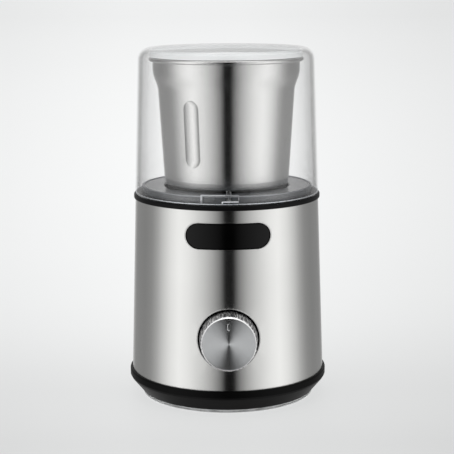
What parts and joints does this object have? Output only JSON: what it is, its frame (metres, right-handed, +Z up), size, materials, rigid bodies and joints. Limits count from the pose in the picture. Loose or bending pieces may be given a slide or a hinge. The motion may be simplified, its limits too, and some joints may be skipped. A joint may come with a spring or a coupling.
{
  "type": "electric spice grinder",
  "caption": "Countertop spice grinder: tapered steel motor base with a knob and a push button, lift-out steel cup with a blade, and a clear twist-lock lid.",
  "frame": {"origin": "centre of the ring that the grinder stands on, on the surface it stands on", "axes": "+Z up along the motor's axis, -Y to the front with the knob and the button, +X to the right"},
  "size_m": [0.1066, 0.1128, 0.1866],
  "materials": {
    "brushed_steel_skin": "fine brushed",
    "cup_steel": "fine satin",
    "black_plastic": "satin moulded",
    "seam_plastic": "semi gloss",
    "deck_plastic": "satin moulded",
    "button_gloss": "gloss",
    "foot_silicone": "translucent satin",
    "lid_clear": "clear polished",
    "knob_aluminium": "turned, bright bevel",
    "spun_aluminium": "spun",
    "blade_steel": "polished",
    "plain_steel": "plain",
    "lamination_steel": "stacked sheet",
    "cast_aluminium": "die cast",
    "copper": "enamelled copper",
    "brass_parts": "plain",
    "carbon": "matte",
    "black_rubber": "matte",
    "switch_plastic": "matte",
    "board_laminate": "solder mask",
    "board_part_plastic": "mixed parts"
  },
  "bodies": {
    "base": {"foot_ring": "foot_silicone", "bottom_cover": "black_plastic", "cover_screws": "plain_steel", "base_ring": "black_plastic", "body_skin": "brushed_steel_skin", "chassis": "black_plastic", "cord_bush": "black_rubber", "seam_ring": "seam_plastic", "top_deck": "deck_plastic", "deck_screws": "plain_steel", "rotary_switch": "switch_plastic", "switch_screws": "plain_steel", "button_bracket": "black_plastic", "bracket_screws": "plain_steel", "button_switch": "switch_plastic", "interlock_spring": "plain_steel", "interlock_switch": "switch_plastic", "stator_core": "lamination_steel", "field_coils": "copper", "upper_bracket": "cast_aluminium", "lower_bracket": "cast_aluminium", "motor_bearings": "brass_parts", "stator_screws": "plain_steel", "motor_mounts": "black_rubber", "motor_screws": "plain_steel", "brush_holders": "brass_parts", "carbon_brushes": "carbon", "brush_springs": "plain_steel", "control_board": "board_laminate", "board_parts": "board_part_plastic", "board_screws": "plain_steel"},
    "knob": {"knob_body": "knob_aluminium", "knob_face": "spun_aluminium", "knob_spindle": "plain_steel"},
    "button": {"button_cap": "button_gloss", "button_plunger": "switch_plastic"},
    "interlock": {"interlock_pin": "plain_steel"},
    "rotor": {"motor_shaft": "plain_steel", "armature_core": "lamination_steel", "armature_windings": "copper", "commutator": "copper", "fan": "black_plastic", "drive_coupling": "black_plastic"},
    "cup": {"grinding_cup": "cup_steel", "cup_foot": "black_plastic", "blade_bush": "blade_steel", "bush_gasket": "black_rubber", "bush_nut": "brass_parts", "shaft_seal": "black_rubber"},
    "blade": {"blade": "blade_steel", "blade_shaft": "plain_steel", "blade_washer": "blade_steel", "blade_nut": "blade_steel", "driven_coupling": "black_plastic"},
    "gasket": {"lid_gasket": "foot_silicone"},
    "lid": {"lid": "lid_clear"}
  },
  "joints": [
    {"name": "knob_turn", "type": "hinge", "parent": "base", "child": "knob", "pos_m": [0, -0.05, 0.0405], "axis": [0, 1, 0], "range_deg": [-45, 90]},
    {"name": "button_press", "type": "slide", "parent": "base", "child": "button", "axis": [0, 1, 0], "range_m": [0, 0.002], "stiffness_N_per_m": 400, "springref_m": -0.002},
    {"name": "interlock_press", "type": "slide", "parent": "base", "child": "interlock", "axis": [0, 0, 1], "range_m": [-0.0023, 0], "stiffness_N_per_m": 100, "springref_m": 0.002, "deforming": ["interlock_spring"]},
    {"name": "rotor_spin", "type": "hinge", "parent": "base", "child": "rotor", "pos_m": [0, 0, 0.06], "axis": [0, 0, 1], "continuous": true},
    {"name": "cup_lift", "type": "slide", "parent": "base", "child": "cup", "axis": [0, 0, 1], "range_m": [0, 0.06]},
    {"name": "blade_spin", "type": "hinge", "parent": "cup", "child": "blade", "pos_m": [0, 0, 0.11], "axis": [0, 0, 1], "continuous": true},
    {"name": "lid_lift", "type": "slide", "parent": "cup", "child": "gasket", "axis": [0, 0, 1], "range_m": [0, 0.09]},
    {"name": "lid_twist", "type": "hinge", "parent": "gasket", "child": "lid", "pos_m": [0, 0, 0.18], "axis": [0, 0, 1], "range_deg": [-10.7, 0]}
  ],
  "couplings": [
    {"joint": "blade_spin", "follows": "rotor_spin", "ratio": 1},
    {"joint": "interlock_press", "follows": "lid_twist", "m_per_rad": 0.01231}
  ]
}
